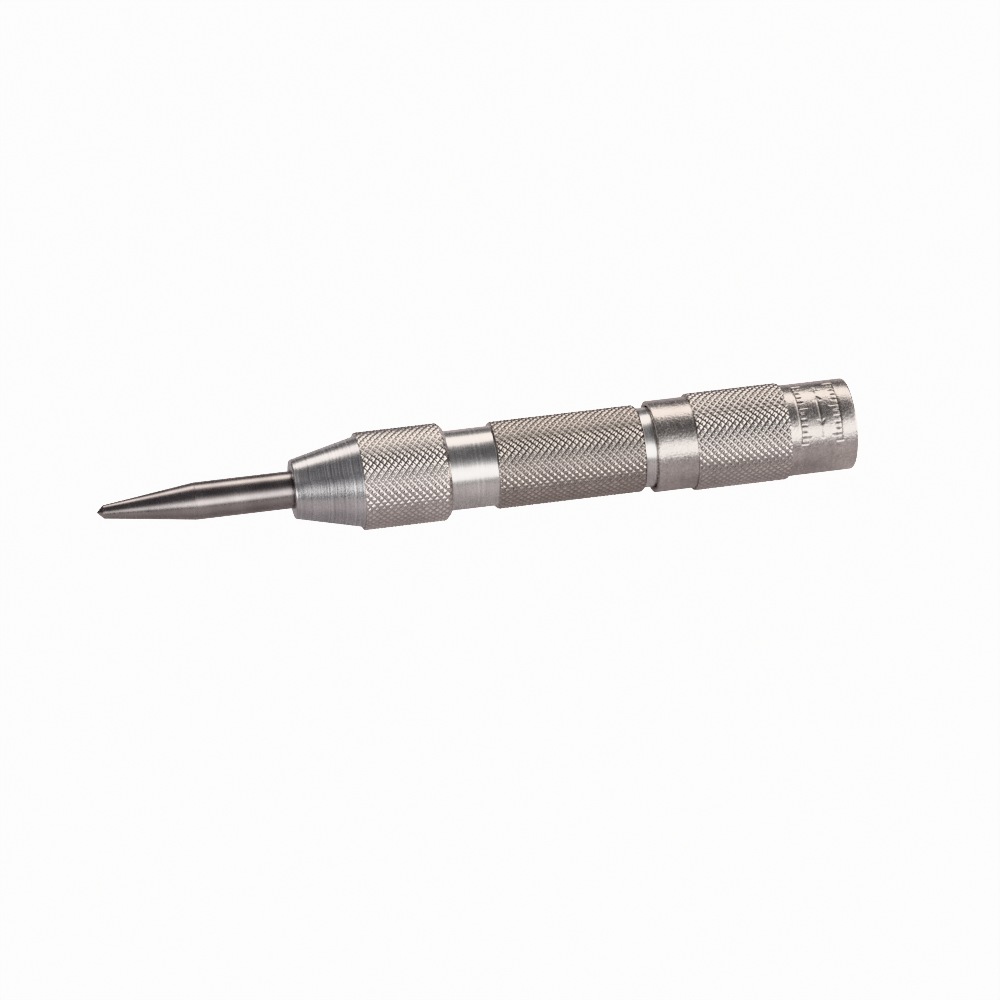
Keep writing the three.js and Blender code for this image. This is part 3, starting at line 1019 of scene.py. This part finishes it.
def softbox(name, azimuth, distance, width, colour, radiance, glow):
    """A soft light that faces the tool. glow is its brightness, from 0 to 1, at each elevation in degrees.

    Azimuth 0 is at -Y and grows towards +X."""
    low, high = glow[0][0], glow[-1][0]
    middle = math.radians(low + high) / 2
    height = 2 * distance * math.tan(math.radians(high - low) / 2)
    light = bpy.data.lights.new(name, "AREA")
    light.shape = "RECTANGLE"
    light.size = width
    light.size_y = height
    light.energy = radiance * math.pi * width * height
    light.color = colour
    light.use_nodes = True
    tree = light.node_tree
    across = tree.nodes.new("ShaderNodeNewGeometry").outputs["Parametric"]
    parts = tree.nodes.new("ShaderNodeSeparateXYZ")
    tree.links.new(across, parts.inputs[0])
    ramp = tree.nodes.new("ShaderNodeValToRGB")
    stops = ramp.color_ramp.elements
    while len(stops) < len(glow):
        stops.new(0.5)
    for stop, (elevation, share) in zip(stops, glow):
        stop.position = 0.5 + math.tan(math.radians(elevation) - middle) * distance / height
        stop.color = (share, share, share, 1)
    tree.links.new(parts.outputs["Y"], ramp.inputs[0])
    tree.links.new(ramp.outputs["Color"], tree.nodes["Emission"].inputs["Strength"])
    lamp = bpy.data.objects.new(name, light)
    a = math.radians(azimuth)
    flat = math.cos(middle)
    away = Vector((math.sin(a) * flat, -math.cos(a) * flat, math.sin(middle)))
    lamp.location = away * distance
    lamp.rotation_euler = away.to_track_quat("Z", "Y").to_euler()
    lamp.visible_camera = False
    bpy.context.scene.collection.objects.link(lamp)


def make_world():
    """A dim, slightly cool surround that fills what the lights leave dark."""
    world = bpy.data.worlds.new("studio")
    world.use_nodes = True
    tree = world.node_tree
    background = tree.nodes["Background"]
    background.inputs["Color"].default_value = (0.94, 0.94, 1.0, 1)
    background.inputs["Strength"].default_value = 0.185
    bpy.context.scene.world = world


def make_camera():
    """The photograph's view: from the front left and above, rolled a little, with a long lens."""
    data = bpy.data.cameras.new("camera")
    data.lens = 162.0
    data.sensor_width = 36.0
    data.clip_start, data.clip_end = 0.01, 20.0
    camera = bpy.data.objects.new("camera", data)
    azimuth, elevation, roll = math.radians(-12.98), math.radians(43.4), math.radians(2.11)
    back = Vector((
        math.sin(azimuth) * math.cos(elevation),
        -math.cos(azimuth) * math.cos(elevation),
        math.sin(elevation),
    ))
    turn = back.to_track_quat("Z", "Y") @ Matrix.Rotation(roll, 4, "Z").to_quaternion()
    camera.rotation_mode = "QUATERNION"
    camera.rotation_quaternion = turn
    camera.location = Vector((-0.1168, -0.5246, 0.5092))
    bpy.context.scene.collection.objects.link(camera)
    bpy.context.scene.camera = camera


make_floor()
softbox(
    "front_light",
    azimuth=24,
    distance=1.5,
    width=2.3,
    colour=(1.0, 0.99, 0.985),
    radiance=2.25,
    glow=[
        (2, 0.02),
        (9, 0.22),
        (14, 0.58),
        (20, 0.95),
        (26, 1),
        (32, 1),
        (38, 0.9),
        (44, 0.68),
        (49, 0.4),
        (55, 0.18),
        (61, 0.07),
        (67, 0.02),
    ],
)
softbox(
    "back_light",
    azimuth=162,
    distance=1.3,
    width=1.7,
    colour=(1.0, 0.93, 0.88),
    radiance=2.7,
    glow=[(24, 0.03), (30, 0.3), (36, 0.75), (42, 1), (50, 1), (55, 0.75), (60, 0.4), (65, 0.1), (70, 0)],
)
for side, azimuth in (("left", -50), ("right", 76)):
    softbox(
        side + "_corner_light",
        azimuth=azimuth,
        distance=1.5,
        width=0.85,
        colour=(1.0, 0.98, 0.97),
        radiance=3.4,
        glow=[(1, 0.2), (5, 1), (19, 1), (25, 0.4), (32, 0)],
    )
for side, azimuth in (("left", -90), ("right", 90)):
    softbox(
        side + "_light",
        azimuth=azimuth,
        distance=1.3,
        width=0.9,
        colour=(1.0, 0.96, 0.93),
        radiance=0.7,
        glow=[(36, 0.05), (44, 0.6), (50, 1), (57, 1), (63, 0.4), (68, 0)],
    )
make_world()
make_camera()
bpy.context.scene.view_settings.view_transform = "Khronos PBR Neutral"
